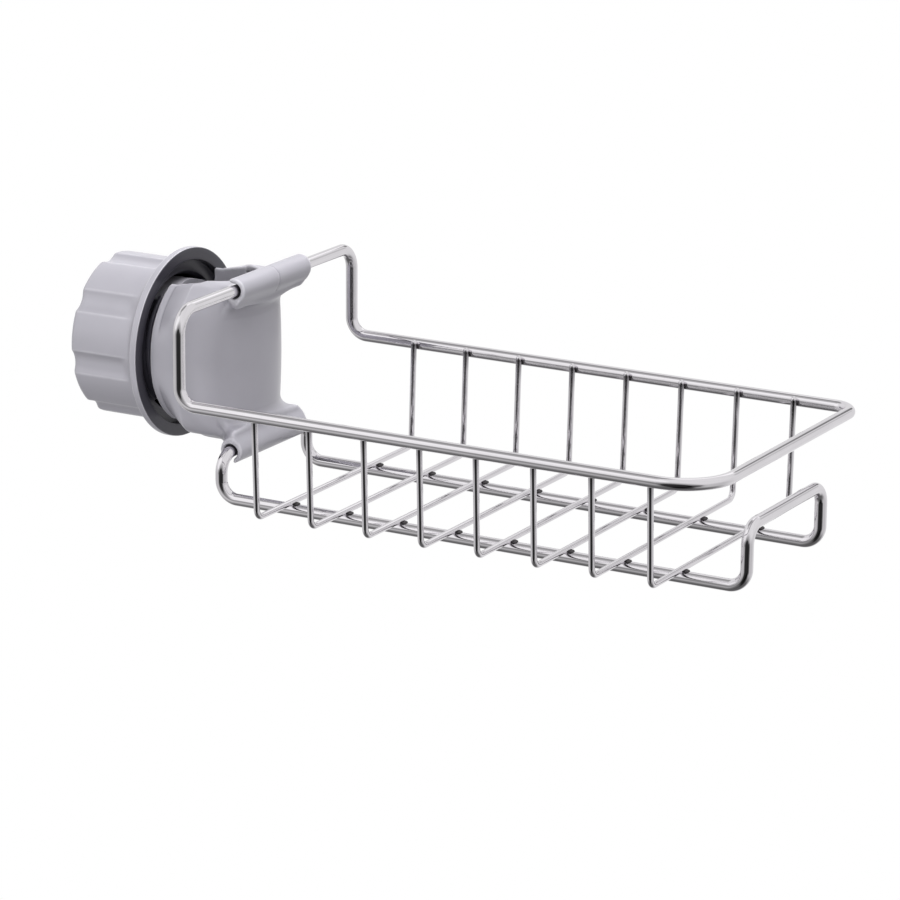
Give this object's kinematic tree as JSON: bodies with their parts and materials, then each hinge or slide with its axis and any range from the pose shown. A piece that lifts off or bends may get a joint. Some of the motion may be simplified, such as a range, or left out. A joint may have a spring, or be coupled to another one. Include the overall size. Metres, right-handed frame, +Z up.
{
  "type": "sink drain rack",
  "caption": "Open wire basket on a bent wire frame, with a towel bar below its far end and a screw clamp that grips a vertical tap pipe.",
  "frame": {"origin": "where the axis of the clamped pipe crosses the axis of the clamp knob", "axes": "+Z up along the pipe, +X along the basket away from the pipe, +Y across the basket"},
  "size_m": [0.2495, 0.1106, 0.076],
  "materials": {
    "body_plastic": "satin-gloss mid grey moulded plastic",
    "knob_plastic": "satin-gloss mid grey moulded plastic",
    "chromed_wire": "bright polished plated steel wire",
    "pad_rubber": "matt dark rubber"
  },
  "bodies": {
    "rack": {"clamp_body": "body_plastic", "jaw_liner": "pad_rubber", "upper_frame": "chromed_wire", "lower_frame": "chromed_wire", "cross_wire_1": "chromed_wire", "cross_wire_2": "chromed_wire", "cross_wire_3": "chromed_wire", "cross_wire_4": "chromed_wire", "cross_wire_5": "chromed_wire", "cross_wire_6": "chromed_wire", "cross_wire_7": "chromed_wire", "cross_wire_8": "chromed_wire"},
    "shoe": {"pressure_shoe": "body_plastic", "shoe_pad": "pad_rubber"},
    "knob": {"clamp_knob": "knob_plastic"}
  },
  "joints": [
    {"name": "shoe_slide", "type": "slide", "parent": "rack", "child": "shoe", "axis": [1, 0, 0], "range_m": [-0.01501, 0.00451]},
    {"name": "knob_turn", "type": "hinge", "parent": "shoe", "child": "knob", "pos_m": [-0.025, 0, 0], "axis": [1, 0, 0], "range_deg": [-1080, 324]}
  ],
  "couplings": [
    {"joint": "shoe_slide", "follows": "knob_turn", "m_per_rad": 0.00079577}
  ]
}
